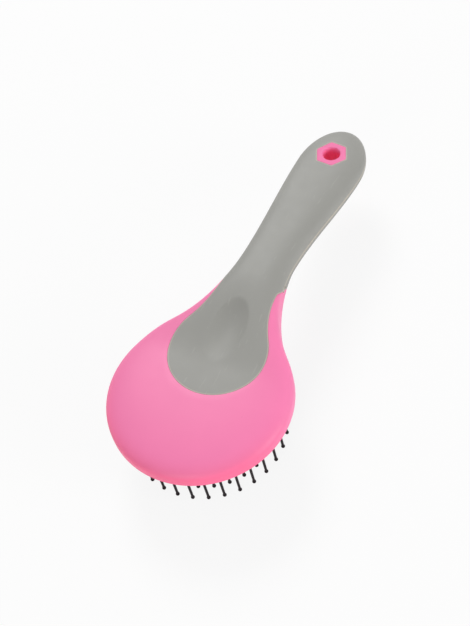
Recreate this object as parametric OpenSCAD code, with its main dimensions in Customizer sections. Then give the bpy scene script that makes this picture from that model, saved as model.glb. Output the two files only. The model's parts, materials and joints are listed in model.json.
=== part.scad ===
// Mane and tail brush: a round pink head with an air cushion of ball-tipped pins,
// and an arched handle wrapped in two soft grey grip skins.
// The length runs along X with the handle towards +X, and the pins point down to Z = 0.

/* [Head] */
// Diameter of the head
head_d = 95; // [85:1:105]
// Rise of the crown above the head's widest line
head_crown = 10; // [9:0.5:13]
// Depth of the rim below the head's widest line
head_rim = 4.2; // [3.6:0.1:6]
// Wall between the cushion's seat and the outside of the head
head_wall = 2.6; // [2.2:0.1:4]
// Thickness of the head's roof at the crown
head_roof = 5.4; // [4.8:0.1:6.4]
// Distance from the head's centre over which its outline stays round
head_round = 33.6; // [28:0.1:36]

/* [Handle] */
// Length of the whole brush
overall_l = 229; // [215:1:250]
// Distance from the head's centre to the narrowest part of the neck
neck_pos = 84.1; // [76:0.1:92]
// Width of the neck
neck_w = 27.6; // [24:0.2:32]
// Width of the swollen end of the handle
swell_w = 36.4; // [32:0.2:42]
// Length of the rounded end of the handle
end_l = 27.2; // [24:0.1:38]
// Distance from the head's centre to where the widest line starts to climb
arch_start = 14; // [5:0.1:20]
// Distance from the head's centre to the top of the arch
arch_top = 67.3; // [62:0.1:80]
// Rise of the neck's widest line above the head's
arch_rise = 9.6; // [5:0.1:11]
// Drop of the handle's end below the head's widest line
end_drop = 1.8; // [0:0.1:8]
// Height of the handle's top above its widest line
handle_top = 8.9; // [8:0.1:11]
// Depth of the handle's underside below its widest line
handle_under = 7.7; // [6.5:0.1:10]

/* [Grip] */
// Thickness of the grip skins
grip_t = 1.6; // [1:0.1:2.2]
// Radius of the grip's round front on the head
pad_r = 25.9; // [20:0.1:28]
// Distance from the head's centre to the centre of that round front
pad_pos = 23.5; // [20:0.5:28]
// Distance past that centre at which the round front passes into the neck
pad_round = 13.2; // [10:0.1:17]
// Half width of the grip where it leaves the head
pad_tail = 14.9; // [12:0.1:15.5]
// Distance from the head's centre to where the grip wraps round the neck
wrap_pos = 71.5; // [68:0.1:76]
// Radius of the corner where the grip turns out round the neck
wrap_corner = 5; // [4:0.1:11]
// Distance from the head's centre to where the lower grip's seam with the upper one starts
seam_pos = 68.4; // [64:0.1:72]
// Depth of that seam below the widest line
seam_drop = 0.4; // [0.3:0.05:1]
// Distance by which the lower grip's front leans back from there to the underside
wrap_lean = 8.1; // [4:0.1:14]
// Length of the thumb dish
dish_l = 35; // [28:0.5:44]
// Width of the thumb dish
dish_w = 18.4; // [14:0.1:24]
// Depth of the thumb dish
dish_depth = 1.6; // [0.5:0.1:2]
// Distance from the head's centre to the middle of the thumb dish
dish_pos = 34.8; // [30:0.1:42]

/* [Hanging hole] */
// Diameter of the hanging hole
hole_d = 9.4; // [6:0.1:11]
// Width across the corners of the six-sided boss round the hole
boss_d = 18.7; // [15:0.1:20]
// Distance from the handle's end to the hole's centre
hole_pos = 21.9; // [20:0.1:28]

/* [Cushion] */
// Thickness of the rubber cushion
cushion_t = 1.8; // [1.2:0.1:2.2]
// Bulge of the cushion's crown below its edge
cushion_rise = 3.2; // [2:0.1:4.5]
// Depth of the cushion's edge inside the rim
cushion_inset = 0.4; // [0.2:0.1:1]
// Height of the bead that holds the cushion in its groove
bead_h = 1.2; // [0.8:0.1:1.4]
// Reach of that bead into the head's wall
bead_reach = 0.8; // [0.5:0.1:1]
// Diameter of the air vent in the cushion
vent_d = 1.2; // [0.8:0.1:1.6]

/* [Pins] */
// Length of a pin outside the cushion
pin_l = 25.5; // [18:0.5:28]
// Diameter of a pin
pin_d = 1.5; // [1:0.05:1.8]
// Diameter of a pin's ball tip
ball_d = 2.1; // [1.8:0.1:2.6]
// Diameter of a pin's head inside the cushion
pin_head_d = 3.2; // [2.8:0.1:3.8]
// Height of a pin's head
pin_head_h = 0.8; // [0.5:0.1:1]
// Distance from the cushion's edge to the outermost ring of pins
ring_inset = 4.9; // [4.4:0.1:7]
// Radius of the innermost ring of pins
inner_ring_r = 7; // [6:0.1:8]
// Distance between pins along a ring
pin_pitch = 8.1; // [6.5:0.1:10]
// Clearance round a pin in the cushion
pin_gap = 0.2; // [0.15:0.01:0.3]

/* [Hidden] */
$fn = 64;

// Colours of the mouldings
pink = [0.95, 0.53, 0.7];
grey = [0.64, 0.64, 0.62];
dark_rubber = [0.13, 0.12, 0.12];
dark_nylon = [0.08, 0.06, 0.06];

// Places along the brush: lengths are measured from the head's centre
head_r = head_d / 2;
head_x = head_r - overall_l / 2;
end_pos = overall_l - head_r;
swell_pos = end_pos - end_l;
hole_x = end_pos - hole_pos;

// Heights above the tip of the longest-reaching pin
edge_z = pin_l + cushion_rise;
rim_z = edge_z - cushion_inset;
line_z = rim_z + head_rim;
roof_z = line_z + head_crown - head_roof;

// Height well above the brush
high = 3 * line_z;

// Height of the seat between the cushion's edge and its bead
skirt_h = 1;
// Radius of the air space's rounded upper edge
room_round = 7.5;

// Squareness of the sections: 2 is an ellipse, and more is squarer
head_square = 3;
rim_square = 10;
handle_square = 2.9;
// Softness of the thumb dish's edge: 1 is a crisp edge, and more is softer
dish_soft = 1.2;

// Seat of the cushion in the head
seat_r = head_r - head_wall;
groove_z = edge_z + skirt_h;
seat_top = groove_z + bead_h;
skirt_r = seat_r - cushion_t;

// Counts of points along and across the skins
end_steps = 12;
back_steps = 34;
top_steps = 18;
under_steps = 12;
// Angle at which the rounded ends stop short of a point
tip_angle = 86;
// Margin by which cutting shapes pass what they cut
over = 1;

// Rings of pins round the one in the centre
ring_count = 6;
ring_r = seat_r - ring_inset;
ring_gap = (ring_r - inner_ring_r) / (ring_count - 1);
// Turn of the outer ring, and of each ring against the one outside it
first_turn = 8.6;
turn_step = -6;

function smooth(t) = let (u = min(1, max(0, t))) u * u * (3 - 2 * u);
function mix(a, b, t) = a + (b - a) * t;

// Curve from height a with slope m to height b with slope 0, over a length
function ease(a, m, b, length, t) =
    a * (1 - smooth(t)) + m * length * t * (1 - t) * (1 - t) + b * smooth(t);

// Half width of the brush at a distance from the head's centre
function half_width(d) =
    d <= head_round ? sqrt(max(0, head_r * head_r - d * d)) :
    d <= neck_pos ? let (w = sqrt(head_r * head_r - head_round * head_round))
        ease(w, -head_round / w, neck_w / 2, neck_pos - head_round,
             (d - head_round) / (neck_pos - head_round)) :
    d <= swell_pos ? mix(neck_w, swell_w, smooth((d - neck_pos) / (swell_pos - neck_pos))) / 2 :
    swell_w / 2 * sqrt(max(0, 1 - pow((d - swell_pos) / end_l, 2)));

// Height of the widest line: level on the head, arched over the neck, level again at the end
function middle_z(d) =
    line_z + arch_rise * smooth((d - arch_start) / (arch_top - arch_start))
    - (arch_rise + end_drop) * smooth((d - arch_top) / (end_pos - arch_top));

// How far out a point lies, from 0 on the spine to 1 on the widest line
function reach(d, side) =
    let (w = half_width(d))
    d < 0 ? min(1, norm([d, side * w]) / head_r) :
    d > swell_pos ? min(1, norm([(d - swell_pos) / end_l, side * w / (swell_w / 2)])) : abs(side);

function bulge(q, n) = pow(max(0, 1 - pow(q, n)), 1 / n);

// Shares of the handle's section in the top, which changes along the pad, and in the underside
function handle_share(d) = smooth((d - pad_pos) / (seam_pos - pad_pos));
function under_share(d) = smooth((d - head_r) / (neck_pos - head_r));

// Soft hollow for the thumb
function dish(d, y) =
    let (q = pow((d - dish_pos) / (dish_l / 2), 2) + pow(y / (dish_w / 2), 2))
    q < 1 ? dish_depth * pow(1 - q, dish_soft) : 0;

function top_z(d, side, inset) =
    middle_z(d) - dish(d, side * half_width(d))
    + (mix(head_crown, handle_top, handle_share(d)) - inset)
    * bulge(reach(d, side), mix(head_square, handle_square, handle_share(d)));

function under_z(d, side, inset) =
    let (depth = mix(middle_z(d) - line_z + head_rim, handle_under, under_share(d)))
    middle_z(d) - (depth - inset)
    * bulge(reach(d, side), mix(rim_square, handle_square, under_share(d)));

// Stations along the brush, closer together at the rounded ends
stations = concat(
    [for (i = [0:end_steps - 1]) -head_r * sin(tip_angle * (1 - i / end_steps))],
    [for (i = [0:back_steps]) mix(0, swell_pos, i / back_steps)],
    [for (i = [1:end_steps]) swell_pos + end_l * sin(tip_angle * i / end_steps)]);

// Sides across a section, from one widest line to the other, closer together at the edges
function across(steps) = [for (j = [0:steps]) cos(180 * j / steps)];

// One section of the brush, inset from its outside, as a closed ring of points
function section(d, inset) =
    let (
        w = half_width(d),
        narrow = d > swell_pos ? 1 - inset / (swell_w / 2) : 1 - inset / w,
        x = head_x + (d < 0 ? d / sin(tip_angle) :
            d > swell_pos ? swell_pos + (d - swell_pos) / sin(tip_angle) * (1 - inset / end_l) : d)
    )
    concat(
        [for (s = across(top_steps)) [x, s * w * narrow, top_z(d, s, inset)]],
        [for (j = [1:under_steps - 1]) let (s = -across(under_steps)[j])
            [x, s * w * narrow, under_z(d, s, inset)]]);

// Solid skinned over closed rings of points, with its ends closed
module skinned(rings) {
    n = len(rings[0]);
    last = (len(rings) - 1) * n;
    polyhedron(
        points = [for (ring = rings) each ring],
        faces = concat(
            [[for (j = [0:n - 1]) j]],
            [for (i = [0:len(rings) - 2]) for (j = [0:n - 1]) for (half = [0, 1])
                let (a = i * n + j, b = i * n + (j + 1) % n)
                half == 0 ? [a, a + n, b] : [b, a + n, b + n]],
            [[for (j = [n - 1:-1:0]) last + j]]));
}

// The brush's whole outer form, or that form inset by a thickness
module form(inset = 0) {
    from = inset > 0 ? -head_r / 2 : -head_r;
    skinned([for (d = stations) if (d >= from) section(d, inset)]);
}

// Merges its children into one moulded skin
module moulded() {
    resize([0, 0, 0]) children();
}

// Plan of the grip seen from above: round on the head, narrow at the neck, then past the handle
function pad_side() =
    let (
        w = sqrt(pad_r * pad_r - pad_round * pad_round),
        from = pad_pos + pad_round,
        to = wrap_pos - wrap_corner
    )
    concat(
        [for (t = [0:0.05:0.95]) let (a = t * (90 + asin(pad_round / pad_r)))
            [pad_pos - pad_r * cos(a), pad_r * sin(a)]],
        [for (t = [0:0.1:1]) [mix(from, to, t), ease(w, -pad_round / w, pad_tail, to - from, t)]],
        [for (a = [15:15:90]) [to + wrap_corner * sin(a), pad_tail + wrap_corner * (1 - cos(a))]],
        [[wrap_pos, head_r], [end_pos + over, head_r]]);

function mirrored(points) = [for (i = [len(points) - 1:-1:1]) [points[i].x, -points[i].y]];

module grip_plan() {
    polygon(concat(pad_side(), mirrored(pad_side())));
}

// Extrudes a side view of the brush, drawn along and up from the head's centre, across its width
module from_side() {
    translate([head_x, 0, 0]) rotate([90, 0, 0])
        linear_extrude(height = 2 * head_d, center = true) children();
}

// Side view of everything above or below the seam between the grips
module beyond_seam(up) {
    line = [for (d = [-head_r, each [for (t = [0:0.02:1]) mix(0, end_pos, t)], end_pos + 2 * over])
        [d, middle_z(d) - seam_drop]];
    polygon(concat(line, [[end_pos + 2 * over, up ? high : 0], [-head_r, up ? high : 0]]));
}

// Side view of what lies behind the front where the grips wrap the neck: upright, then leaning back
module behind_wrap() {
    seam_z = middle_z(seam_pos) - seam_drop;
    polygon([[seam_pos, high], [seam_pos, seam_z],
             [seam_pos + wrap_lean * seam_z / handle_under, 0],
             [end_pos + over, 0], [end_pos + over, high]]);
}

// Six-sided boss round the hanging hole, with flats facing along the handle
module boss() {
    translate([head_x + hole_x, 0, 0]) rotate([0, 0, 30])
        cylinder(d = boss_d, h = 2 * line_z, $fn = 6);
}

// Everything outside the core and the boss
module skin_space() {
    difference() {
        children();
        form(grip_t);
        boss();
    }
}

// Space of the upper grip's plan
module plan_space() {
    translate([head_x, 0, 0]) linear_extrude(height = high) grip_plan();
}

// Space that one grip skin takes up, above or below the seam
module grip_space(up) {
    skin_space() intersection() {
        if (up) plan_space(); else from_side() behind_wrap();
        from_side() beyond_seam(up);
    }
}

// Space that both grip skins share all round the handle
module wrap_space() {
    skin_space() intersection() {
        plan_space();
        from_side() behind_wrap();
    }
}

// Room for the cushion: its seat, the groove for its bead and the air space behind it
module cushion_room() {
    translate([head_x, 0, 0]) rotate_extrude()
        polygon(concat(
            [[0, rim_z - 2 * over], [seat_r, rim_z - 2 * over], [seat_r, groove_z],
             [seat_r + bead_reach, groove_z], [seat_r + bead_reach, seat_top], [seat_r, seat_top]],
            [for (a = [0:15:90])
                [seat_r - room_round * (1 - cos(a)), mix(seat_top, roof_z, sin(a))]],
            [[0, roof_z]]));
}

module brush_body() {
    color(pink) difference() {
        moulded() difference() {
            form();
            grip_space(true);
            grip_space(false);
            wrap_space();
        }
        cushion_room();
        translate([head_x + hole_x, 0, 0]) cylinder(d = hole_d, h = 2 * line_z);
    }
}

module grip(up) {
    color(grey) moulded() intersection() {
        form();
        grip_space(up);
    }
}

// Height of the cushion's outer face at a distance from its centre
function cushion_z(r) = edge_z - cushion_rise * (1 - pow(r / seat_r, 2));

// Height at which a pin's head sits clear of the cushion's inner face
function head_z(r) =
    cushion_z(r) + cushion_t + pin_gap + pin_head_d * cushion_rise * (r + pin_head_d) / pow(seat_r, 2);

// Places of the pins in a ring, counted inwards, with the centre as the ring after the last
function ring_radius(k) = k > ring_count ? 0 : ring_r - (k - 1) * ring_gap;
function ring_size(k) = max(1, round(2 * PI * ring_radius(k) / pin_pitch));
function ring_angles(k) =
    [for (i = [0:ring_size(k) - 1]) first_turn + turn_step * (k - 1) + 360 * i / ring_size(k)];

module at_pins(k) {
    for (a = ring_angles(k))
        translate([head_x, 0, 0]) rotate([0, 0, a]) translate([ring_radius(k), 0, 0]) children();
}

module cushion() {
    dome = [for (t = [0:0.1:1]) t * skirt_r];
    vent_at = ring_gap / 2;
    color(dark_rubber) difference() {
        translate([head_x, 0, 0]) rotate_extrude()
            polygon(concat(
                [for (r = dome) [r, cushion_z(r)]],
                [[seat_r, edge_z], [seat_r, groove_z], [seat_r + bead_reach, groove_z],
                 [seat_r + bead_reach, seat_top], [skirt_r, seat_top]],
                [for (i = [len(dome) - 1:-1:0]) [dome[i], cushion_z(dome[i]) + cushion_t]]));
        for (k = [1:ring_count + 1])
            at_pins(k) translate([0, 0, pin_l - over]) cylinder(d = pin_d + 2 * pin_gap, h = line_z);
        translate([head_x + vent_at, 0, pin_l - over]) cylinder(d = vent_d, h = line_z);
    }
}

// One pin: a flat head inside the cushion, a straight stem and a ball tip
module pin(r) {
    tip_z = cushion_z(r) - pin_l;
    ball_z = tip_z + ball_d / 2;
    union() {
        translate([0, 0, head_z(r)]) cylinder(d = pin_head_d, h = pin_head_h);
        translate([0, 0, ball_z]) cylinder(d = pin_d, h = head_z(r) + pin_head_h / 2 - ball_z);
        translate([0, 0, ball_z]) sphere(d = ball_d);
    }
}

module pin_ring(k) {
    color(dark_nylon) at_pins(k) pin(ring_radius(k));
}

brush_body();
grip(true);  // upper_grip
grip(false);  // lower_grip
cushion();
for (k = [1:ring_count])
    pin_ring(k);
pin_ring(ring_count + 1);  // centre_pin
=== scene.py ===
import json
import math

import bmesh
import bpy
import numpy as np
from bpy.props import FloatProperty, FloatVectorProperty, PointerProperty
from mathutils import Matrix, Vector
from mathutils.kdtree import KDTree


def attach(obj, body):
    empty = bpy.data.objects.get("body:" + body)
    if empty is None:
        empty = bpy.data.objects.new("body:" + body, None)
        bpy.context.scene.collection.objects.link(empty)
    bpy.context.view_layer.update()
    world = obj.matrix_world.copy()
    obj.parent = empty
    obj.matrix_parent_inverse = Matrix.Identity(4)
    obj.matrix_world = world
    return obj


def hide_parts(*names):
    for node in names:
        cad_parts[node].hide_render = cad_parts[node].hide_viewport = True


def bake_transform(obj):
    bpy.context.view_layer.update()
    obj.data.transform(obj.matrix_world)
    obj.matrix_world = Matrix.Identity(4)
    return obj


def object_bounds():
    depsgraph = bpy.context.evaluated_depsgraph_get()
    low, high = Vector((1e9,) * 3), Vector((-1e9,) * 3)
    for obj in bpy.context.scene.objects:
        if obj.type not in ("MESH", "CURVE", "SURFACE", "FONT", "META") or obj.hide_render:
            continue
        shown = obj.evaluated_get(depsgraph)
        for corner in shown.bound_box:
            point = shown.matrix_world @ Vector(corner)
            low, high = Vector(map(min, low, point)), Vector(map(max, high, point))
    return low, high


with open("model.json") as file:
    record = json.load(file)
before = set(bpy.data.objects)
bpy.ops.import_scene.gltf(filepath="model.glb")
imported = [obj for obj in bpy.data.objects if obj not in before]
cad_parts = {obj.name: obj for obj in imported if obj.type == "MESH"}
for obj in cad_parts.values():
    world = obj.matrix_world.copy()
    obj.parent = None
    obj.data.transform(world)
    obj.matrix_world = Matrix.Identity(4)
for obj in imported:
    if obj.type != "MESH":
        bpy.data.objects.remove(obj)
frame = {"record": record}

bl_info = {
    "name": "Mane and tail brush",
    "version": (1, 0, 0),
    "blender": (4, 5, 0),
    "location": "3D View > Sidebar > Brush",
    "description": "Builds a mane and tail brush: head, grips, cushion and pins",
    "category": "Object",
}

MM = 0.001
CAD_LOW, CAD_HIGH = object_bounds()

# Places that the frame gives. Lengths along the brush start at the head's centre.
HEAD_R = (CAD_HIGH.y - CAD_LOW.y) / 2
HEAD_X = CAD_LOW.x + HEAD_R
END_POS = CAD_HIGH.x - HEAD_X
HANGING_HOLE = next(m for m in frame["record"]["mounts"] if m["name"] == "hanging_hole")
HOLE_POS = HANGING_HOLE["pos_m"][0] - HEAD_X
HOLE_R = HANGING_HOLE["dims"]["r_mm"] * MM

# Squareness of the sections: 2 is an ellipse, and more is squarer
HEAD_SQUARE, RIM_SQUARE, HANDLE_SQUARE = 3.0, 10.0, 2.9
# Softness of the thumb dish's edge, where less is crisper, and how much it deepens to the handle
DISH_SOFT, DISH_LEAN = 0.95, 0.65
# Slope at which the upper grip's edge starts to fall down the neck's side
FALL_SLOPE = 0.2
# Width of the painted highlight along a moulding's open edge, where its rounded lip catches light
HIGHLIGHT_BAND = 1.2 * MM
# Squareness of the boss's corners, rounding of its hole, and share of the lip's rounding on it
BOSS_SQUARE, BOSS_MOUTH, BOSS_LIP = 48, 0.8 * MM, 0.8
# The grip's patch round the boss: half its length in boss widths, and its share of the width
PATCH_LENGTH, PATCH_WIDTH = 0.66, 0.68
# How mesh rows crowd along the head's round front and towards the rim's outside
FRONT_CROWD, RIM_CROWD = 0.9, 0.2
# Heights of the seat's wall and the cushion's back above the cushion's edge, and the floor's drop
SEAT_WALL, CUSHION_BACK, FLOOR_DROP = 1.5 * MM, 0.8 * MM, 0.2 * MM
# Clearance round the cushion and the rounding of its edge
CUSHION_GAP, CUSHION_EDGE = 0.08 * MM, 0.35 * MM
# A pin's root inside the cushion, the height of its collar and the collar's depth
PIN_ROOT, COLLAR_H, COLLAR_SUNK = 0.6 * MM, 0.9 * MM, 0.6 * MM
# Radii of a pin's thin end and of its collar's mouth, in pin diameters
PIN_TAPER, COLLAR_MOUTH = 0.46, 0.52
# Distances under which points are one, and under which a face has no size
MERGE_DIST, NO_SIZE = 0.002 * MM, 0.001 * MM
# Place, width in metres and power in watts of each lamp
LAMPS = {
    "key_lamp": ((1.1, 0.9, 1.3), 0.8, 24.0),
    "side_lamp": ((0.05, -1.25, 0.35), 0.7, 9.0),
    "front_lamp": ((-1.1, -0.1, 0.4), 0.7, 4.6),
}
# Strength of the sky's light, the share of glow in the floor and half the floor's width in metres
SKY_LEVEL, FLOOR_GLOW, FLOOR_HALF = 0.27, 0.88, 3.0

# Counts of mesh rows along and across the skins
PAD_STEPS, NECK_STEPS, CORNER_STEPS, UNDER_STEPS = 49, 26, 14, 30
HANDLE_STEPS, END_STEPS, ACROSS_STEPS = 92, 40, 110
ROOF_STEPS, RIM_STEPS, LIP_STEPS, BOSS_SIDE_STEPS = 32, 24, 4, 16
CUSHION_RINGS, CUSHION_SIDES = 30, 96
PATCH_STEPS, BOSS_FACE_STEPS, OUTLINE_STEPS, LEAN_ROUNDS = 8, 7, 1500, 12
PIN_SIDES, BALL_RINGS, COLLAR_SIDES = 12, 8, 14
RING_COUNT = 6


def size(name, text, millimetres):
    """A length that the user can change, given in millimetres."""
    return FloatProperty(name=name, description=text, default=millimetres * MM, min=0,
                         unit="LENGTH", precision=4)


def angle(name, text, degrees):
    """An angle that the user can change, given in degrees."""
    return FloatProperty(name=name, description=text, default=math.radians(degrees),
                         unit="ROTATION")


def colour(name, text, value):
    """A linear colour that the user can change."""
    return FloatVectorProperty(name=name, description=text, default=value, subtype="COLOR",
                               min=0, max=1)


class BrushHeadSizes(bpy.types.PropertyGroup):
    """Sizes of the pink moulding's outside."""

    head_crown: size("Crown", "Rise of the crown above the head's widest line", 10)
    head_rim: size("Rim", "Depth of the rim below the head's widest line", 4.2)
    head_wall: size("Wall", "Wall between the cushion's seat and the outside of the head", 2.6)
    head_round: size("Round", "Distance over which the head's outline stays round", 33.6)
    neck_pos: size("Neck place", "Distance from the head's centre to the narrowest neck", 84.1)
    neck_w: size("Neck width", "Width of the neck", 27.6)
    swell_w: size("Swell width", "Width of the swollen end of the handle", 36.4)
    end_l: size("End length", "Length of the rounded end of the handle", 27.2)
    arch_start: size("Arch start", "Where the widest line starts to climb", 14)
    arch_top: size("Arch top", "Where the arch is highest", 67.3)
    arch_rise: size("Arch rise", "Rise of the neck's widest line above the head's", 9.6)
    end_drop: size("End drop", "Drop of the handle's end below the head's widest line", 1.8)
    handle_top: size("Handle top", "Height of the handle above its widest line", 8.9)
    handle_under: size("Handle under", "Depth of the handle below its widest line", 7.7)
    boss_d: size("Boss", "Width across the corners of the six-sided boss", 17.9)
    boss_turn: angle("Boss turn", "Turn of the six-sided boss round its hole", -5)
    shell_t: size("Shell", "Thickness of the modelled shell", 0.8)


class BrushGripSizes(bpy.types.PropertyGroup):
    """Sizes of the grey grip skins."""

    pad_r: size("Pad radius", "Radius of the grip's round front on the head", 25.9)
    pad_pos: size("Pad place", "Distance from the head's centre to the round front's centre", 23.5)
    pad_round: size("Pad round", "Where the round front passes into the neck", 13.2)
    pad_tail: size("Pad tail", "Half width of the grip where it leaves the head", 15.3)
    tail_pos: size("Tail place", "Where the grip has that half width", 66.5)
    fall_pos: size("Fall place", "Where the grip's edge starts to fall down the neck's side", 61)
    cross_pos: size("Cross place", "Where the grip's edge crosses the widest line", 67.1)
    seam_pos: size("Seam place", "Where the handle's own section starts", 68.4)
    wrap_lean: size("Wrap lean", "How far the lower grip's front leans back to the underside", 8.1)
    dish_l: size("Dish length", "Length of the thumb dish", 35)
    dish_w: size("Dish width", "Width of the thumb dish", 18.4)
    dish_depth: size("Dish depth", "Depth of the thumb dish", 2.4)
    dish_pos: size("Dish place", "Distance from the head's centre to the thumb dish", 34.8)
    lip_r: size("Lip", "Rounding of the edges where two mouldings meet", 0.25)
    lip_wall: size("Lip wall", "Depth of the joint between two mouldings", 0.6)
    lean_fade: size("Lean fade", "Length over which the lower grip's rows straighten", 30)


class BrushPinSizes(bpy.types.PropertyGroup):
    """Sizes of the cushion and its pins."""

    cushion_rise: size("Cushion rise", "Bulge of the cushion's crown below its edge", 3.2)
    cushion_inset: size("Cushion inset", "Depth of the cushion's edge inside the rim", 0.4)
    pin_l: size("Pin length", "Length of a pin outside the cushion", 25.5)
    pin_d: size("Pin", "Diameter of a pin", 1.5)
    ball_d: size("Ball", "Diameter of a pin's ball tip", 2.1)
    collar_d: size("Collar", "Diameter of the rubber collar round a pin", 3.2)
    ring_inset: size("Ring inset", "Distance from the cushion's edge to the outer ring", 4.9)
    inner_ring_r: size("Inner ring", "Radius of the innermost ring of pins", 7)
    pin_pitch: size("Pitch", "Distance between pins along a ring", 8.1)
    first_turn: angle("First turn", "Turn of the outer ring", 8.6)
    turn_step: angle("Turn step", "Turn of each ring against the one outside it", -6)


class BrushColours(bpy.types.PropertyGroup):
    """Colours of the mouldings, with a painted shade pink and a painted highlight grey."""

    pink: colour("Pink", "Colour of the head and boss", (0.955, 0.23, 0.46))
    # Painted shade: a redder, deeper pink for the head's low front wall and the hole's inside, in
    # place of light scattered through the plastic in shade
    deep_pink: colour("Deep pink", "Colour of the head low on its rim", (1.0, 0.16, 0.325))
    grey: colour("Grey", "Colour of the grip skins", (0.318, 0.316, 0.294))
    # Painted highlight: the pale grey of the grips' open edges, where the rounded lips catch the
    # light
    worn_grey: colour("Worn grey", "Colour of the grip skins along their edges", (0.52, 0.48, 0.4))
    rubber: colour("Rubber", "Colour of the cushion", (0.016, 0.014, 0.014))
    nylon: colour("Nylon", "Colour of the pins", (0.010, 0.005, 0.007))


SIZE_GROUPS = {"brush_head": BrushHeadSizes, "brush_grip": BrushGripSizes,
               "brush_pins": BrushPinSizes}


def smooth(t):
    """Soft step from 0 to 1."""
    u = np.clip(t, 0, 1)
    return u * u * (3 - 2 * u)


def mix(a, b, t):
    """The point a share t of the way from a to b."""
    return a + (b - a) * t


def ease(a, slope, b, length, t):
    """Curve from height a with a slope to height b with none, over a length."""
    return a * (1 - smooth(t)) + slope * length * t * (1 - t) ** 2 + b * smooth(t)


def edge_shares(steps, power=2.6):
    """Shares from 0 to 1 that crowd towards 1, where the surface turns down most."""
    return 1 - (1 - np.linspace(0, 1, steps)) ** power


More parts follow.
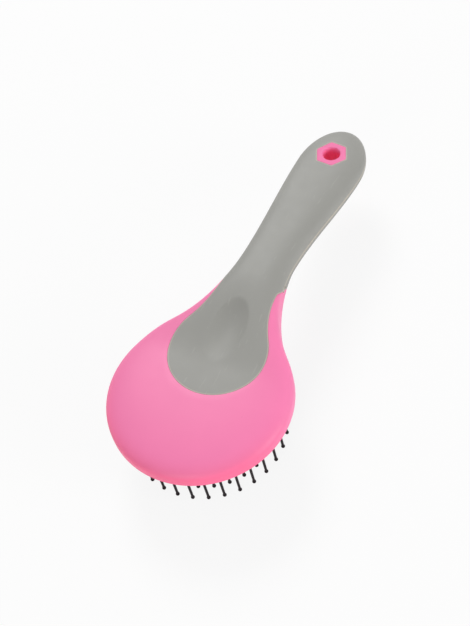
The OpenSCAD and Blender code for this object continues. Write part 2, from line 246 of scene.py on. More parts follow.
class BrushForm:
    """The brush's outside: d runs along it from the head's centre, and y across it."""

    def __init__(self, scene):
        for name, group in SIZE_GROUPS.items():
            for key in group.__annotations__:
                setattr(self, key, getattr(getattr(scene, name), key))
        self.swell_pos = END_POS - self.end_l
        self.edge_z = self.pin_l + self.cushion_rise
        self.line_z = self.edge_z - self.cushion_inset + self.head_rim
        self.seat_r = HEAD_R - self.head_wall
        self.ring_r = self.seat_r - self.ring_inset
        self.ring_gap = (self.ring_r - self.inner_ring_r) / (RING_COUNT - 1)

    def half_width(self, d):
        """Half the brush's width at a distance from the head's centre."""
        start = math.sqrt(HEAD_R ** 2 - self.head_round ** 2)
        flare_l = self.neck_pos - self.head_round
        flare = ease(start, -self.head_round / start, self.neck_w / 2, flare_l,
                     (d - self.head_round) / flare_l)
        waist = mix(self.neck_w, self.swell_w,
                    smooth((d - self.neck_pos) / (self.swell_pos - self.neck_pos))) / 2
        end = np.sqrt(np.maximum(0, 1 - ((d - self.swell_pos) / self.end_l) ** 2))
        return np.select(
            [d <= self.head_round, d <= self.neck_pos, d <= self.swell_pos],
            [np.sqrt(np.maximum(0, HEAD_R ** 2 - d * d)), flare, waist],
            self.swell_w / 2 * end)

    def middle(self, d):
        """Height of the widest line: level on the head, arched over the neck, level at the end."""
        climb = smooth((d - self.arch_start) / (self.arch_top - self.arch_start))
        fall = smooth((d - self.arch_top) / (END_POS - self.arch_top))
        return self.line_z + self.arch_rise * climb - (self.arch_rise + self.end_drop) * fall

    def reach(self, d, y):
        """How far out a point lies, from 0 on the spine to 1 on the widest line."""
        head = np.hypot(d, y) / HEAD_R
        end = np.hypot((d - self.swell_pos) / self.end_l, y / (self.swell_w / 2))
        side = np.abs(y) / np.maximum(self.half_width(d), MM)
        return np.where(d < 0, head, np.where(d > self.swell_pos, end, side))

    def section(self, d, up):
        """Height and squareness of the section above or below the widest line."""
        if up:
            share = smooth((d - self.pad_pos) / (self.seam_pos - self.pad_pos))
            return (mix(self.head_crown, self.handle_top, share),
                    mix(HEAD_SQUARE, HANDLE_SQUARE, share))
        share = smooth((d - HEAD_R) / (self.neck_pos - HEAD_R))
        return (mix(self.middle(d) - self.line_z + self.head_rim, self.handle_under, share),
                mix(RIM_SQUARE, HANDLE_SQUARE, share))

    def dish(self, d, y):
        """Depth of the soft hollow for the thumb."""
        along = (d - self.dish_pos) / (self.dish_l / 2)
        hollow = np.maximum(0, 1 - along ** 2 - (y / (self.dish_w / 2)) ** 2) ** DISH_SOFT
        return self.dish_depth * hollow * (1 + DISH_LEAN * along)

    def surface(self, d, y, up):
        """Height of the outside above or below the widest line."""
        height, square = self.section(d, up)
        inside = np.maximum(0, 1 - np.minimum(1, self.reach(d, y)) ** square)
        rise = height * inside ** (1 / square)
        return self.middle(d) + (rise - self.dish(d, y) if up else -rise)

    def reach_at(self, d, lift, up):
        """The reach at which the outside stands a lift away from the widest line."""
        height, square = self.section(d, up)
        return (1 - (lift / height) ** square) ** (1 / square)

    def outward(self, d, y, z, up):
        """Unit vector out of the surface, from the slope of the section's own equation."""
        def level(d, y, z):
            height, square = self.section(d, up)
            rise = z - self.middle(d) + (self.dish(d, y) if up else 0)
            return np.abs(rise / height) ** square + self.reach(d, y) ** square

        step = 0.01 * MM
        slope = np.stack([
            level(d + step, y, z) - level(d - step, y, z),
            level(d, y + step, z) - level(d, y - step, z),
            level(d, y, z + step) - level(d, y, z - step)], axis=-1)
        return slope / np.maximum(np.linalg.norm(slope, axis=-1, keepdims=True), 1e-12)

    def sunk(self, edge, depth, up):
        """Points of an edge, moved inwards through the surface by a depth."""
        d, y, z = edge
        return np.stack([HEAD_X + d, y, z], axis=-1) - depth * self.outward(d, y, z, up)

    def lip(self, radius):
        """Profile of a rounded edge: pairs of the way in from the edge and the depth."""
        turns = np.linspace(math.pi / 2, 0, LIP_STEPS + 1)
        return [(0, self.lip_wall)] + [(radius * (1 - math.sin(a)), radius * (1 - math.cos(a)))
                                       for a in turns]

    def pad_edge(self, inset, lift=0.0):
        """One side of the upper grip's edge on the head, moved into the grip by an inset,
        from the front to a lift above the widest line."""
        turn = math.pi / 2 + math.asin(self.pad_round / self.pad_r)
        a = np.linspace(0, turn, PAD_STEPS)
        front = np.stack([self.pad_pos - (self.pad_r - inset) * np.cos(a),
                          (self.pad_r - inset) * np.sin(a)])
        wide = math.sqrt(self.pad_r ** 2 - self.pad_round ** 2)
        start = self.pad_pos + self.pad_round
        length = self.tail_pos - start
        t = np.linspace(0, (self.fall_pos - start) / length, NECK_STEPS + 1)[1:]
        curve = ease(wide, -self.pad_round / wide, self.pad_tail, length, t)
        slope = np.gradient(curve, t * length)
        neck = [start + t * length, curve - inset * np.hypot(1, slope)]
        d, y = np.concatenate([front, neck], axis=1)
        z = self.surface(d, y, True)

        s = np.linspace(0, 1, CORNER_STEPS + 1)[1:]
        lean = self.wrap_lean / self.handle_under
        fall_l = self.cross_pos + inset * math.hypot(1, lean) - d[-1]
        height = z[-1] - self.middle(d[-1])
        fall_d = d[-1] + fall_l * s
        fall = (mix(height, lift, smooth(s)) - FALL_SLOPE * fall_l * s * (1 - s) ** 2
                + fall_l / lean * s * s * (1 - s))
        fall_y = self.half_width(fall_d) * self.reach_at(fall_d, fall, True)
        return (np.concatenate([d, fall_d]), np.concatenate([y, fall_y]),
                np.concatenate([z, self.middle(fall_d) + fall]))

    def leaned(self, d, y, share=1.0):
        """Places of the underside moved back by their depth below the seam, as the lower grip's
        front is."""
        slope = share * self.wrap_lean / self.handle_under
        back = d
        for _ in range(LEAN_ROUNDS):
            side = y * self.half_width(back) / self.half_width(d)
            back = d + slope * (self.middle(d) - self.surface(back, side, False))
        return back, side, self.surface(back, side, False)

    def under_edge(self, inset):
        """One side of the lower grip's front, from the underside's middle to the widest line."""
        d = self.pad_edge(inset)[0][-1]
        y = self.half_width(d) * edge_shares(UNDER_STEPS)
        return self.leaned(np.full_like(y, d), y)

    def seam_edge(self, lift, up):
        """One side of the seam along the handle and round its end, a lift from the widest line."""
        first = self.pad_edge(self.lip_r, self.lip_r)[0][-1] + 2 * self.lip_r
        along = np.linspace(first, self.swell_pos, HANDLE_STEPS)
        turn = np.linspace(0, math.pi / 2, END_STEPS + 1)[1:]
        share = self.reach_at(self.swell_pos, lift, up)
        d = np.concatenate([along, self.swell_pos + self.end_l * share * np.sin(turn)])
        y = np.concatenate([self.half_width(along) * self.reach_at(along, lift, up),
                            self.swell_w / 2 * share * np.cos(turn)])
        return d, y, self.middle(d) + (lift if up else -lift)

    def boss_r(self, turn):
        """Distance from the hole's centre to the side of the six-sided boss, corners softened."""
        flat = self.boss_d / 2 * math.cos(math.pi / 6)
        facing = sum(np.maximum(0, np.cos(turn - self.boss_turn - k * math.pi / 3)) ** BOSS_SQUARE
                     for k in range(6))
        return flat / facing ** (1 / BOSS_SQUARE)


def quads(rows, cols, wrap_rows=False, wrap_cols=False, skip=None):
    """Faces of a grid of points, without those in a skipped range of rows and columns."""
    faces = []
    for i in range(rows if wrap_rows else rows - 1):
        for j in range(cols if wrap_cols else cols - 1):
            if skip and skip[0] <= i < skip[1] and skip[2] <= j < skip[3]:
                continue
            k, m = (i + 1) % rows, (j + 1) % cols
            faces.append((i * cols + j, i * cols + m, k * cols + m, k * cols + j))
    return faces


def sheet(points, **options):
    """A grid of points with its faces."""
    rows, cols = points.shape[:2]
    return points.reshape(-1, 3), quads(rows, cols, **options)


def mirrored(part):
    """A sheet's other half, across the middle of the brush."""
    points, faces = part
    return points * (1, -1, 1), [face[::-1] for face in faces]


def piece_object(name, mesh):
    """A new object of the scene that holds a mesh."""
    piece = bpy.data.objects.new(name, mesh)
    bpy.context.scene.collection.objects.link(piece)
    return piece


def plain_mesh(piece):
    """Turns a piece's modifiers into its mesh."""
    graph = bpy.context.evaluated_depsgraph_get()
    graph.update()
    mesh = bpy.data.meshes.new_from_object(piece.evaluated_get(graph))
    piece.modifiers.clear()
    piece.data = mesh
    mesh.name = piece.name
    return piece


def mark_edges(bm):
    """Stores how near each point lies to an open edge, for the painted edge highlight: 0 a band
    away, 1 on it.
    """
    worn = bm.verts.layers.float.new("worn")
    rim = [v for v in bm.verts if v.is_boundary]
    tree = KDTree(len(rim))
    for k, v in enumerate(rim):
        tree.insert(v.co, k)
    tree.balance()
    for v in bm.verts:
        v[worn] = max(0.0, 1 - tree.find(v.co)[2] / HIGHLIGHT_BAND) if rim else 0.0


def moulding(name, parts, material, inside, wall=0.0, crease=40):
    """One piece from sheets: merged, turned outwards from a point inside it and given a wall."""
    bm = bmesh.new()
    for points, faces in parts:
        corners = [bm.verts.new(p) for p in points]
        for face in faces:
            bm.faces.new([corners[k] for k in face])
    bmesh.ops.remove_doubles(bm, verts=bm.verts, dist=MERGE_DIST)
    bmesh.ops.dissolve_degenerate(bm, edges=bm.edges, dist=NO_SIZE)
    bmesh.ops.recalc_face_normals(bm, faces=bm.faces)
    middle = Vector(inside)
    if sum(f.normal.dot(f.calc_center_median() - middle) * f.calc_area() for f in bm.faces) < 0:
        bmesh.ops.reverse_faces(bm, faces=bm.faces)
    mark_edges(bm)
    mesh = bpy.data.meshes.new(name)
    bm.to_mesh(mesh)
    bm.free()
    piece = piece_object(name, mesh)
    if wall:
        shell = piece.modifiers.new("Wall", "SOLIDIFY")
        shell.thickness, shell.offset = wall, -1
        plain_mesh(piece)
    piece.data.shade_smooth()
    piece.data.set_sharp_from_angle(angle=math.radians(crease))
    piece.data.materials.append(material)
    return piece


class Wire:
    """A socket in a node tree, with arithmetic that adds Math nodes."""

    def __init__(self, build, socket):
        self.build, self.socket = build, socket

    def math(self, operation, a, b):
        return self.build.add("ShaderNodeMath", {"operation": operation}, {0: a, 1: b})

    def __add__(self, other):
        return self.math("ADD", self, other)

    def __sub__(self, other):
        return self.math("SUBTRACT", self, other)

    def __rsub__(self, other):
        return self.math("SUBTRACT", other, self)

    def __mul__(self, other):
        return self.math("MULTIPLY", self, other)

    def __truediv__(self, other):
        return self.math("DIVIDE", self, other)

    def __rtruediv__(self, other):
        return self.math("DIVIDE", other, self)

    def __gt__(self, other):
        return self.math("GREATER_THAN", self, other)

    def __lt__(self, other):
        return self.math("LESS_THAN", self, other)

    __radd__, __rmul__ = __add__, __mul__


class TreeBuilder:
    """Adds nodes to a shader or geometry tree."""

    def __init__(self, tree):
        self.tree = tree

    def add(self, kind, settings=None, inputs=None, output=0):
        """A node of a kind: its settings first, then values or wires for its sockets."""
        node = self.tree.nodes.new(kind)
        for key, value in (settings or {}).items():
            setattr(node, key, value)
        for key, value in (inputs or {}).items():
            if isinstance(value, Wire):
                self.tree.links.new(value.socket, node.inputs[key])
            elif isinstance(value, (list, tuple)) and value and isinstance(value[0], Wire):
                for wire in value:
                    self.tree.links.new(wire.socket, node.inputs[key])
            else:
                node.inputs[key].default_value = value
        return Wire(self, node.outputs[output]) if node.outputs else node


class Finish(TreeBuilder):
    """A material's tree, with the textures that the mouldings share."""

    def __init__(self, name):
        self.material = bpy.data.materials.new(name)
        self.material.use_nodes = True
        super().__init__(self.material.node_tree)
        self.tree.nodes.clear()
        self.place = self.add("ShaderNodeTexCoord", output="Object")

    def noise(self, per_metre, detail=2.0):
        """Soft noise from 0 to 1 with a number of lumps to the metre."""
        return self.add("ShaderNodeTexNoise", None,
                        {"Vector": self.place, "Scale": per_metre, "Detail": detail})

    def specks(self, per_metre, radius, share):
        """Small dots in a share of the cells of a grid, 1 inside a dot."""
        settings = {"feature": "F1"}
        inputs = {"Vector": self.place, "Scale": per_metre}
        far = self.add("ShaderNodeTexVoronoi", settings, inputs, "Distance")
        pick = self.add("ShaderNodeTexVoronoi", settings, inputs, "Color")
        pick = self.add("ShaderNodeSeparateColor", None, {"Color": pick}, "Red")
        return (far < radius) * (pick < share)

    def step(self, value, low, high):
        """Soft step of a value: 0 at low and 1 at high."""
        return self.add("ShaderNodeMapRange", {"interpolation_type": "SMOOTHSTEP"},
                        {0: value, 1: low, 2: high})

    def blend(self, share, a, b):
        """Colour a share of the way from a to b."""
        return self.add("ShaderNodeMix", {"data_type": "RGBA"},
                        {"Factor": share, 6: a, 7: b}, 2)

    def bump(self, height, strength, distance):
        """Normal over a height pattern."""
        return self.add("ShaderNodeBump", None,
                        {"Strength": strength, "Distance": distance, "Height": height}, "Normal")

    def shader(self, **inputs):
        """Closes the tree with a Principled shader."""
        named = {key.replace("_", " "): value for key, value in inputs.items()}
        surface = self.add("ShaderNodeBsdfPrincipled", None, named)
        self.add("ShaderNodeOutputMaterial", None, {"Surface": surface})
        return self.material


def shade(value, factor):
    """A colour made lighter or darker, with its alpha."""
    return (*(min(1.0, c * factor) for c in value), 1.0)


def pink_plastic(colours):
    """Satin moulded plastic with a faint cloudiness and a fine mould texture, with painted shade
    that makes it redder and deeper low on the front and in the hole, and duller on the boss."""
    finish = Finish("satin_pink_plastic")
    cloud, grain = finish.noise(26, 3), finish.noise(2600, 2)
    tone = finish.blend(cloud, shade(colours.pink, 0.95), shade(colours.pink, 1.05))
    along = finish.add("ShaderNodeSeparateXYZ", None, {0: finish.place}, "X")
    height = finish.add("ShaderNodeSeparateXYZ", None, {0: finish.place}, "Z")
    # Painted shade: below these heights, towards the front and in the hole, the pink turns to the
    # redder shade pink
    painted_shade_top, painted_shade_full, painted_shade_back, painted_shade_front = 40.6 * MM, 34 * MM, 18 * MM, -30 * MM
    low = finish.step(height, painted_shade_top, painted_shade_full)
    front = finish.step(along, HEAD_X + painted_shade_back, HEAD_X + painted_shade_front)
    at_boss = along > HEAD_X + HOLE_POS - 2 * HOLE_R
    # Painted shade: the low front wall and the hole's inside take the redder shade pink
    tone = finish.blend(low * (front + at_boss), tone, shade(colours.deep_pink, 1))
    marks = finish.specks(150, 0.05, 0.06)
    tone = finish.blend(marks * 0.25, tone, shade(colours.pink, 0.7))
    return finish.shader(
        Base_Color=tone, Roughness=0.4 + 0.12 * finish.noise(180, 4) + 0.3 * at_boss,
        IOR=1.46, Specular_IOR_Level=0.35,
        Normal=finish.bump(grain, 0.06, 0.05 * MM))


def grey_grip(colours):
    """Soft-touch rubber: matt, finely grained, with a little dust and faint scratches, and a
    painted highlight of pale edges where the rounded lips catch the light."""
    finish = Finish("soft_touch_grey")
    cloud, grain = finish.noise(30, 4), finish.noise(3600, 3)
    tone = finish.blend(cloud, shade(colours.grey, 0.93), shade(colours.grey, 1.07))
    tone = finish.blend(grain * 0.3, tone, shade(colours.grey, 0.85))
    dust = finish.specks(260, 0.055, 0.07)
    tone = finish.blend(dust * 0.35, tone, shade(colours.grey, 1.7))
    lengthways = finish.add("ShaderNodeMapping", None, {
        "Vector": finish.place, "Rotation": (0, 0, 0.35), "Scale": (90, 1100, 300)})
    scratch = finish.add("ShaderNodeTexNoise", None,
                         {"Vector": lengthways, "Scale": 1.0, "Detail": 1.0})
    tone = finish.blend((scratch > 0.72) * 0.18, tone, shade(colours.grey, 1.5))
    # Painted highlight: a pale band along the open edges, broken up by noise, where the rounded
    # lips catch the light
    worn = finish.add("ShaderNodeAttribute", {"attribute_name": "worn"}, output="Fac")
    worn = finish.step(worn, 0.15, 0.35) * (0.4 + 0.6 * finish.noise(90, 2))
    tone = finish.blend(worn, tone, shade(colours.worn_grey, 1))
    return finish.shader(
        Base_Color=tone, Roughness=0.5 + 0.14 * finish.noise(140, 4), IOR=1.5,
        Normal=finish.bump(grain, 0.12, 0.05 * MM))


def dark_rubber(colours):
    """Matt cushion rubber with a bloom of paler dust."""
    finish = Finish("dark_cushion_rubber")
    cloud, grain = finish.noise(60, 5), finish.noise(3000, 3)
    tone = finish.blend(cloud * 0.6, shade(colours.rubber, 1), shade(colours.rubber, 1.9))
    return finish.shader(
        Base_Color=tone, Roughness=0.58 + 0.16 * finish.noise(220, 4), IOR=1.5,
        Normal=finish.bump(grain, 0.15, 0.06 * MM))


def dark_nylon(colours):
    """Dark moulded nylon with a slight sheen."""
    finish = Finish("dark_pin_nylon")
    tone = finish.blend(finish.noise(350, 3), shade(colours.nylon, 0.8), shade(colours.nylon, 1.5))
    return finish.shader(
        Base_Color=tone, Roughness=0.4 + 0.14 * finish.noise(700, 3), IOR=1.45,
        Specular_IOR_Level=0.12,
        Normal=finish.bump(finish.noise(4200, 2), 0.05, 0.04 * MM))


MATERIALS = {"pink": pink_plastic, "grey": grey_grip, "rubber": dark_rubber, "nylon": dark_nylon}


def material_of(scene, key):
    """The material of a finish, made once."""
    made = scene.get("brush_materials", {})
    if key not in made:
        material = MATERIALS[key](scene.brush_colours)
        scene["brush_materials"] = {**dict(made), key: material.name}
        return material
    return bpy.data.materials[made[key]]


def upper_grid(form, across):
    """Rows of the upper grip along its edge, each straight across, and their places."""
    def edge(inset):
        return tuple(np.concatenate(pair) for pair in
                     zip(form.pad_edge(inset, inset), form.seam_edge(inset, True)))

    lips = np.stack([form.sunk(edge(inset), depth, True) for inset, depth in form.lip(form.lip_r)])
    row_d, y, _ = edge(form.lip_r)
    inner_y = across[:, None] * y
    inner_d = np.broadcast_to(row_d, inner_y.shape)
    inner = np.stack([HEAD_X + inner_d, inner_y, form.surface(inner_d, inner_y, True)], axis=-1)
    return np.concatenate([lips, inner, lips[::-1] * (1, -1, 1)]).transpose(1, 0, 2), row_d


def lower_grid(form, across):
    """Rows of the lower grip, leaning at its front and straight across further back, and their
    places."""
    lip = form.lip(form.lip_r)
    fronts = np.array([form.pad_edge(inset)[0][-1] for inset, _ in lip])
    row_d = np.concatenate([fronts, form.seam_edge(form.lip_r, False)[0]])
    lean = 1 - smooth((row_d - fronts[-1]) / form.lean_fade)
    sink = np.concatenate([[depth for _, depth in lip], np.zeros(len(row_d) - len(lip))])

    def column(lift, share, depth):
        back_d, back_y, _ = form.seam_edge(lift, False)
        d = np.concatenate([fronts, back_d])
        front_y = form.half_width(fronts) * form.reach_at(fronts, lift, False)
        y = share * np.concatenate([front_y, back_y])
        z = form.surface(d, y, False)
        bent = lean > 0
        d[bent], y[bent], z[bent] = form.leaned(d[bent], y[bent], lean[bent])
        return form.sunk((d, y, z), np.maximum(sink, depth)[:, None], False)

    lips = np.stack([column(lift, 1.0, depth) for lift, depth in lip])
    inner = np.stack([column(form.lip_r, share, 0.0) for share in across])
    return np.concatenate([lips, inner, lips[::-1] * (1, -1, 1)]).transpose(1, 0, 2), row_d


def grip_parts(form, up):
    """Sheets of a grip skin, with a six-sided opening for the boss."""
    lip = form.lip(form.lip_r)
    half = edge_shares(ACROSS_STEPS // 2 + 1)[:-1]
    across = np.concatenate([half[::-1], -half[1:]])
    points, row_d = (upper_grid if up else lower_grid)(form, across)

    rows = np.flatnonzero(np.abs(row_d - HOLE_POS) < form.boss_d * PATCH_LENGTH)
    mid = np.flatnonzero(np.abs(across) < PATCH_WIDTH) + len(lip)
    top, bottom, left, right = rows[0], rows[-1], mid[0], mid[-1]
    parts = [sheet(points, skip=(top, bottom, left, right))]

    loop = np.concatenate([
        points[top, left:right], points[top:bottom, right],
        points[bottom, right:left:-1], points[bottom:top:-1, left]])
    out_d, out_y = loop[:, 0] - HEAD_X - HOLE_POS, loop[:, 1]
    turn = np.arctan2(out_y, out_d)
    for k in range(6):
        corner = form.boss_turn + math.pi / 6 + k * math.pi / 3
        miss = np.abs(np.angle(np.exp(1j * (turn - corner))))
        turn[miss.argmin()] = corner
    rings = []
    for inset, depth in lip:
        r = form.boss_r(turn) + inset
        d, y = HOLE_POS + r * np.cos(turn), r * np.sin(turn)
        rings.append(form.sunk((d, y, form.surface(d, y, up)), depth, up))
    r = form.boss_r(turn) + form.lip_r
    for share in np.linspace(0, 1, PATCH_STEPS)[1:-1]:
        d = HOLE_POS + mix(r * np.cos(turn), out_d, share)
        y = mix(r * np.sin(turn), out_y, share)
        rings.append(np.stack([HEAD_X + d, y, form.surface(d, y, up)], axis=-1))
    rings.append(loop)
    parts.append(sheet(np.stack(rings), wrap_cols=True))
    return parts


def head_outline(form):
    """Places on the head's outline, one for each place on the upper grip's edge."""
    edge_d, edge_y, _ = form.pad_edge(-form.lip_r)
    last = edge_d[-1]
    d = np.concatenate([-HEAD_R * np.cos(np.linspace(0, math.pi / 2, OUTLINE_STEPS)),
                        np.linspace(0, last, 2 * OUTLINE_STEPS)[1:]])
    length = np.concatenate([[0], np.cumsum(np.hypot(np.diff(d), np.diff(form.half_width(d))))])
    front_l = np.interp(edge_d[PAD_STEPS - 1], d, length)
    front = np.interp(front_l * np.linspace(0, 1, PAD_STEPS) ** FRONT_CROWD, length, d)
    out_d = np.concatenate([front, edge_d[PAD_STEPS:]])
    out_y = form.half_width(out_d)
    out_d[-1], out_y[-1] = edge_d[-1], edge_y[-1]
    return out_d, out_y


def seat_rows(form, start_d, start_y, start_z):
    """Rows of the underside, from an edge in to the cushion's seat and up its wall."""
    fillet = form.lip_r
    turn = np.arctan2(start_y, start_d)
    to_d, to_y = (form.seat_r + fillet) * np.cos(turn), (form.seat_r + fillet) * np.sin(turn)
    cols = [np.stack([HEAD_X + start_d, start_y, start_z], axis=-1)]
    turns = np.linspace(0, math.pi / 2, RIM_STEPS)[1:-1]
    for share in [*(1 - np.cos(turns) ** RIM_CROWD), 1.0]:
        d, y = mix(start_d, to_d, share), mix(start_y, to_y, share)
        cols.append(np.stack([HEAD_X + d, y, form.surface(d, y, False)], axis=-1))
    end_z = cols[-1][:, 2]
    for a in np.linspace(0, math.pi / 2, LIP_STEPS + 1)[1:]:
        r = form.seat_r + fillet * (1 - math.sin(a))
        cols.append(np.stack([HEAD_X + r * np.cos(turn), r * np.sin(turn),
                              end_z + fillet * (1 - math.cos(a))], axis=-1))
    wall = cols[-1].copy()
    wall[:, 2] = form.edge_z + SEAT_WALL
    return np.stack(cols + [wall]).transpose(1, 0, 2)


def head_parts(form):
    """Sheets of the pink head and neck: the roof, the rim and the underside, with both halves."""
    lip = form.lip(form.lip_r)
    edge_d, edge_y, _ = form.pad_edge(-form.lip_r)
    out_d, out_y = head_outline(form)
    roof = [form.sunk(form.pad_edge(-inset), depth, True) for inset, depth in lip]
    for share in edge_shares(ROOF_STEPS)[1:-1]:
        d, y = mix(edge_d, out_d, share), mix(edge_y, out_y, share)
        roof.append(np.stack([HEAD_X + d, y, form.surface(d, y, True)], axis=-1))
    out_z = form.middle(out_d)
    roof.append(np.stack([HEAD_X + out_d, out_y, out_z], axis=-1))

    wrap = [tuple(v[::-1] for v in form.under_edge(-inset)) for inset, _ in lip]
    wrap_lip = [form.sunk(edge, depth, False) for edge, (_, depth) in zip(wrap, lip)]
    under = np.concatenate([np.stack(wrap_lip[:-1]).transpose(1, 0, 2),
                            seat_rows(form, *wrap[-1])], axis=1)
    halves = [sheet(np.stack(roof).transpose(1, 0, 2)),
              sheet(seat_rows(form, out_d, out_y, out_z)), sheet(under)]
    return halves + [mirrored(part) for part in halves]


def boss_parts(form):
    """One closed sheet round the boss: the hole's wall, the top, the sides and the underside."""
    turn = form.boss_turn + np.linspace(0, 2 * math.pi, 6 * BOSS_SIDE_STEPS, endpoint=False)
    side, mouth, lip = form.boss_r(turn), BOSS_MOUTH, form.lip_r * BOSS_LIP

    def ring(r, drop, up):
        d, y = HOLE_POS + r * np.cos(turn), r * np.sin(turn)
        z = form.surface(d, y, up) + (-drop if up else drop)
        return np.stack([HEAD_X + d, y, z], axis=-1)

    rings = []
    for up in (True, False):
        turns = np.linspace(0, math.pi / 2, LIP_STEPS + 1)
        rim = [ring(HOLE_R + mouth * (1 - math.cos(a)), mouth * (1 - math.sin(a)), up)
               for a in turns]
        face = [ring(mix(HOLE_R + mouth, side - lip, t), 0, up)
                for t in np.linspace(0, 1, BOSS_FACE_STEPS)[1:-1]]
        edge = [ring(side - lip * (1 - math.sin(a)), lip * (1 - math.cos(a)), up) for a in turns]
        wall = [ring(side, form.lip_wall, up)]
        rings += rim + face + edge + wall if up else (rim + face + edge + wall)[::-1]
    return [sheet(np.stack(rings), wrap_rows=True, wrap_cols=True)]


class BRUSH_OT_stage(bpy.types.Operator):
    """Adds the floor, the soft light and the camera"""

    bl_idname = "brush.stage"
    bl_label = "Stage"

    def execute(self, context):
        scene = context.scene
        scene.view_settings.view_transform = "Standard"
        self.floor(scene)
        self.lights(scene)
        self.camera(scene)
        return {"FINISHED"}

    def floor(self, scene):
        """A pale floor that the camera sees near white, with the brush's shadow on it, and that is
        clear from below."""
        mesh = bpy.data.meshes.new("floor")
        half = FLOOR_HALF
        mesh.from_pydata([(-half, -half, 0), (half, -half, 0), (half, half, 0), (-half, half, 0)],
                         [], [(0, 1, 2, 3)])
        floor = piece_object("floor", mesh)
        floor.location.z = CAD_LOW.z - FLOOR_DROP
        finish = Finish("pale_floor")
        seen = self.seen(finish)
        matt = finish.add("ShaderNodeBsdfDiffuse", None, {"Color": (0.86, 0.86, 0.86, 1)})
        glow = finish.add("ShaderNodeEmission", None, {"Color": (1, 1, 1, 1), "Strength": 1.0})
        mixed = finish.add("ShaderNodeMixShader", None, {0: seen * FLOOR_GLOW, 1: matt, 2: glow})
        below = finish.add("ShaderNodeNewGeometry", output="Backfacing")
        clear = finish.add("ShaderNodeBsdfTransparent")
        mixed = finish.add("ShaderNodeMixShader", None, {0: below, 1: mixed, 2: clear})
        finish.add("ShaderNodeOutputMaterial", None, {"Surface": mixed})
        mesh.materials.append(finish.material)

    def seen(self, build):
        """1 for the rays that show the stage itself, and 0 for those that light the brush."""
        return sum(build.add("ShaderNodeLightPath", output=kind)
                   for kind in ("Is Camera Ray", "Is Glossy Ray", "Is Transmission Ray"))

    def lights(self, scene):
        """Three wide soft lamps and an even sky."""
        aim = Vector((0, 0, CAD_HIGH.z / 2))
        for name, (place, width, power) in LAMPS.items():
            data = bpy.data.lights.new(name, "AREA")
            data.shape, data.size, data.energy = "DISK", width, power
            lamp = piece_object(name, data)
            lamp.location = place
            lamp.rotation_euler = (aim - Vector(place)).to_track_quat("-Z", "Y").to_euler()
        world = bpy.data.worlds.new("soft_sky")
        world.use_nodes = True
        build = TreeBuilder(world.node_tree)
        world.node_tree.nodes.clear()
        sky = build.add("ShaderNodeBackground", None, {
            "Color": (1, 1, 1, 1), "Strength": SKY_LEVEL + (1 - SKY_LEVEL) * self.seen(build)})
        build.add("ShaderNodeOutputWorld", None, {"Surface": sky})
        scene.world = world

    def camera(self, scene):
        """The camera: its turn, height and roll about a point on the brush, and its framing."""
        turn, height, roll = (math.radians(a) for a in (52.0, 53.9, 14.6))
        distance, image_w, image_h, focal = 0.827, 470, 626, 1600
        centre_u, centre_v, sensor, target_pos = 258.8, 293.3, 36.0, 67.5 * MM
        level = Vector((math.cos(turn), -math.sin(turn), 0))
        ahead = Vector((math.sin(turn), math.cos(turn), 0))
        look = ahead * math.cos(height) - Vector((0, 0, math.sin(height)))
        down = -ahead * math.sin(height) - Vector((0, 0, math.cos(height)))
        right = level * math.cos(roll) + down * math.sin(roll)
        up = level * math.sin(roll) - down * math.cos(roll)
        data = bpy.data.cameras.new("photo_camera")
        data.lens, data.sensor_width = focal * sensor / image_h, sensor
        data.shift_x = ((image_w - 1) / 2 - centre_u) / image_h
        data.shift_y = (centre_v - (image_h - 1) / 2) / image_h
        camera = piece_object("photo_camera", data)
        target = Vector((HEAD_X + target_pos, 0, BrushForm(scene).line_z))
        aim = Matrix((right, up, -look)).transposed().to_quaternion()
        camera.matrix_world = Matrix.LocRotScale(target - look * distance, aim, None)
        scene.camera = camera


class BRUSH_OT_head(bpy.types.Operator):
    """Adds the pink head and the six-sided boss of the hanging hole"""

    bl_idname = "brush.head"
    bl_label = "Head"

    def execute(self, context):
        form = BrushForm(context.scene)
        pink = material_of(context.scene, "pink")
        head = moulding("head_shell", head_parts(form), pink,
                        (HEAD_X, 0, form.line_z), wall=form.shell_t)
        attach(head, "back")
        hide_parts("brush_body")
        boss = moulding("hanging_boss", boss_parts(form), pink,
                        (HEAD_X + HOLE_POS, 0, form.middle(np.float64(HOLE_POS))))
        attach(boss, "back")
        return {"FINISHED"}


class BRUSH_OT_grips(bpy.types.Operator):
    """Adds the upper and lower grip skins"""

    bl_idname = "brush.grips"
    bl_label = "Grips"

    def execute(self, context):
        form = BrushForm(context.scene)
        grey = material_of(context.scene, "grey")
        inside = (HEAD_X + form.neck_pos, 0, form.middle(np.float64(form.neck_pos)))
        for name, node, up in (("upper_skin", "upper_grip", True),
                               ("lower_skin", "lower_grip", False)):
            skin = moulding(name, grip_parts(form, up), grey, inside, wall=form.shell_t)
            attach(skin, "back")
            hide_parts(node)
        return {"FINISHED"}


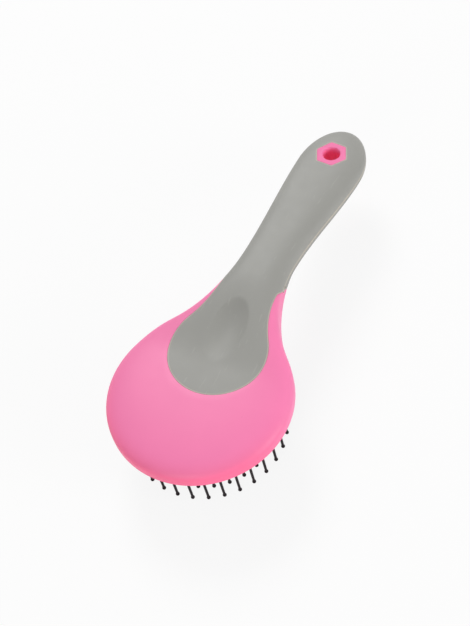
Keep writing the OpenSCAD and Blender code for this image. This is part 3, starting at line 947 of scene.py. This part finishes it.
class BRUSH_OT_cushion(bpy.types.Operator):
    """Adds the rubber air cushion"""

    bl_idname = "brush.cushion"
    bl_label = "Cushion"

    def execute(self, context):
        form = BrushForm(context.scene)
        outer, edge, back_z = form.seat_r - CUSHION_GAP, CUSHION_EDGE, form.edge_z + CUSHION_BACK
        profile = [(r, form.edge_z - form.cushion_rise * (1 - (r / form.seat_r) ** 2))
                   for r in np.linspace(0, outer - edge, CUSHION_RINGS)]
        foot = profile[-1][1]
        profile += [(outer - edge * (1 - math.sin(a)), foot + edge * (1 - math.cos(a)))
                    for a in np.linspace(0, math.pi / 2, LIP_STEPS + 1)[1:]]
        profile += [(outer, back_z), (0, back_z)]
        turn = np.linspace(0, 2 * math.pi, CUSHION_SIDES, endpoint=False)
        rings = np.stack([np.stack([HEAD_X + r * np.cos(turn), r * np.sin(turn),
                                    np.full_like(turn, z)], axis=-1) for r, z in profile])
        cushion = moulding("air_cushion", [sheet(rings, wrap_cols=True)],
                           material_of(context.scene, "rubber"), (HEAD_X, 0, form.edge_z))
        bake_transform(cushion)
        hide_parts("cushion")
        return {"FINISHED"}


class BRUSH_OT_pins(bpy.types.Operator):
    """Adds the rings of ball-tipped pins"""

    bl_idname = "brush.pins"
    bl_label = "Pins"

    def execute(self, context):
        form = BrushForm(context.scene)
        tree = self.ring_tree(form, context.scene)
        for k in range(1, RING_COUNT + 2):
            centre = k > RING_COUNT
            radius = 0.0 if centre else form.ring_r - (k - 1) * form.ring_gap
            count = max(1, round(2 * math.pi * radius / form.pin_pitch))
            root = form.edge_z - form.cushion_rise * (1 - (radius / form.seat_r) ** 2)
            name = "centre_pin_ball" if centre else f"pins_ring_{k}"
            ring = piece_object(name, bpy.data.meshes.new(name))
            modifier = ring.modifiers.new("Ring", "NODES")
            modifier.node_group = tree
            values = {"Count": count, "Radius": radius, "Root": root,
                      "Turn": form.first_turn + form.turn_step * (k - 1)}
            for item in tree.interface.items_tree:
                if item.name in values and item.in_out == "INPUT":
                    modifier[item.identifier] = values[item.name]
            plain_mesh(ring)
            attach(ring, "crown_pins" if k >= RING_COUNT else f"ring_{k}_pins")
            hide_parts("centre_pin" if centre else f"pin_ring_{k}")
        return {"FINISHED"}

    def ring_tree(self, form, scene):
        """Geometry nodes for one ring: a pin with its collar at each of a number of places."""
        tree = bpy.data.node_groups.new("Pin ring", "GeometryNodeTree")
        tree.interface.new_socket("Geometry", in_out="OUTPUT", socket_type="NodeSocketGeometry")
        sockets = {"Count": "Int", "Radius": "Float", "Root": "Float", "Turn": "Float"}
        for name, kind in sockets.items():
            tree.interface.new_socket(name, in_out="INPUT", socket_type=f"NodeSocket{kind}")
        build = TreeBuilder(tree)
        given = {name: build.add("NodeGroupInput", output=name) for name in sockets}
        step = 2 * math.pi / given["Count"]
        turn = given["Turn"] + step * build.add("GeometryNodeInputIndex")
        cos = build.add("ShaderNodeMath", {"operation": "COSINE"}, {0: turn})
        sin = build.add("ShaderNodeMath", {"operation": "SINE"}, {0: turn})
        place = build.add("ShaderNodeCombineXYZ", None, {
            "X": HEAD_X + given["Radius"] * cos, "Y": given["Radius"] * sin, "Z": given["Root"]})
        points = build.add("GeometryNodePoints", None,
                           {"Count": given["Count"], "Position": place})

        stem_l = form.pin_l - form.ball_d / 2 + PIN_ROOT
        stem = build.add("GeometryNodeMeshCone", {"fill_type": "NONE"}, {
            "Vertices": PIN_SIDES, "Side Segments": 1, "Radius Top": form.pin_d / 2,
            "Radius Bottom": form.pin_d * PIN_TAPER, "Depth": stem_l})
        stem = build.add("GeometryNodeTransform", None, {
            "Geometry": stem, "Translation": (0, 0, form.ball_d / 2 - form.pin_l)})
        ball = build.add("GeometryNodeMeshUVSphere", None, {
            "Segments": PIN_SIDES, "Rings": BALL_RINGS, "Radius": form.ball_d / 2})
        ball = build.add("GeometryNodeTransform", None, {
            "Geometry": ball, "Translation": (0, 0, form.ball_d / 2 - form.pin_l)})
        collar = build.add("GeometryNodeMeshCone", {"fill_type": "NONE"}, {
            "Vertices": COLLAR_SIDES, "Side Segments": 2, "Radius Top": form.collar_d / 2,
            "Radius Bottom": form.pin_d * COLLAR_MOUTH, "Depth": COLLAR_H})
        collar = build.add("GeometryNodeTransform", None, {
            "Geometry": collar, "Translation": (0, 0, -COLLAR_SUNK)})
        collar = build.add("GeometryNodeStoreNamedAttribute",
                           {"data_type": "BOOLEAN", "domain": "FACE"},
                           {"Geometry": collar, "Name": "collar", "Value": True})
        pin = build.add("GeometryNodeJoinGeometry", None, {"Geometry": [stem, ball, collar]})
        pin = build.add("GeometryNodeSetShadeSmooth", None, {"Geometry": pin})
        ring = build.add("GeometryNodeInstanceOnPoints", None, {"Points": points, "Instance": pin})
        ring = build.add("GeometryNodeRealizeInstances", None, {"Geometry": ring})
        ring = build.add("GeometryNodeSetMaterial", None, {
            "Geometry": ring, "Material": material_of(scene, "nylon")})
        chosen = build.add("GeometryNodeInputNamedAttribute", {"data_type": "BOOLEAN"},
                           {"Name": "collar"})
        ring = build.add("GeometryNodeSetMaterial", None, {
            "Geometry": ring, "Selection": chosen, "Material": material_of(scene, "rubber")})
        build.add("NodeGroupOutput", None, {"Geometry": ring})
        return tree


OPERATORS = (BRUSH_OT_stage, BRUSH_OT_head, BRUSH_OT_grips, BRUSH_OT_cushion, BRUSH_OT_pins)


class BRUSH_PT_brush(bpy.types.Panel):
    """Lists the brush's sizes, colours and pieces"""

    bl_idname = "BRUSH_PT_brush"
    bl_label = "Mane and tail brush"
    bl_space_type = "VIEW_3D"
    bl_region_type = "UI"
    bl_category = "Brush"

    def draw(self, context):
        layout = self.layout
        for name, group in {**SIZE_GROUPS, "brush_colours": BrushColours}.items():
            box = layout.box()
            box.label(text=name.replace("_", " ").capitalize())
            for key in group.__annotations__:
                box.prop(getattr(context.scene, name), key)
        for operator in OPERATORS:
            layout.operator(operator.bl_idname)


CLASSES = (*SIZE_GROUPS.values(), BrushColours, *OPERATORS, BRUSH_PT_brush)


def register():
    for cls in CLASSES:
        bpy.utils.register_class(cls)
    for name, group in {**SIZE_GROUPS, "brush_colours": BrushColours}.items():
        setattr(bpy.types.Scene, name, PointerProperty(type=group))


def unregister():
    for name in (*SIZE_GROUPS, "brush_colours"):
        delattr(bpy.types.Scene, name)
    for cls in reversed(CLASSES):
        bpy.utils.unregister_class(cls)


def main():
    register()
    bpy.ops.brush.stage()
    bpy.ops.brush.head()
    bpy.ops.brush.grips()
    bpy.ops.brush.cushion()
    bpy.ops.brush.pins()


if __name__ == "__main__":
    main()
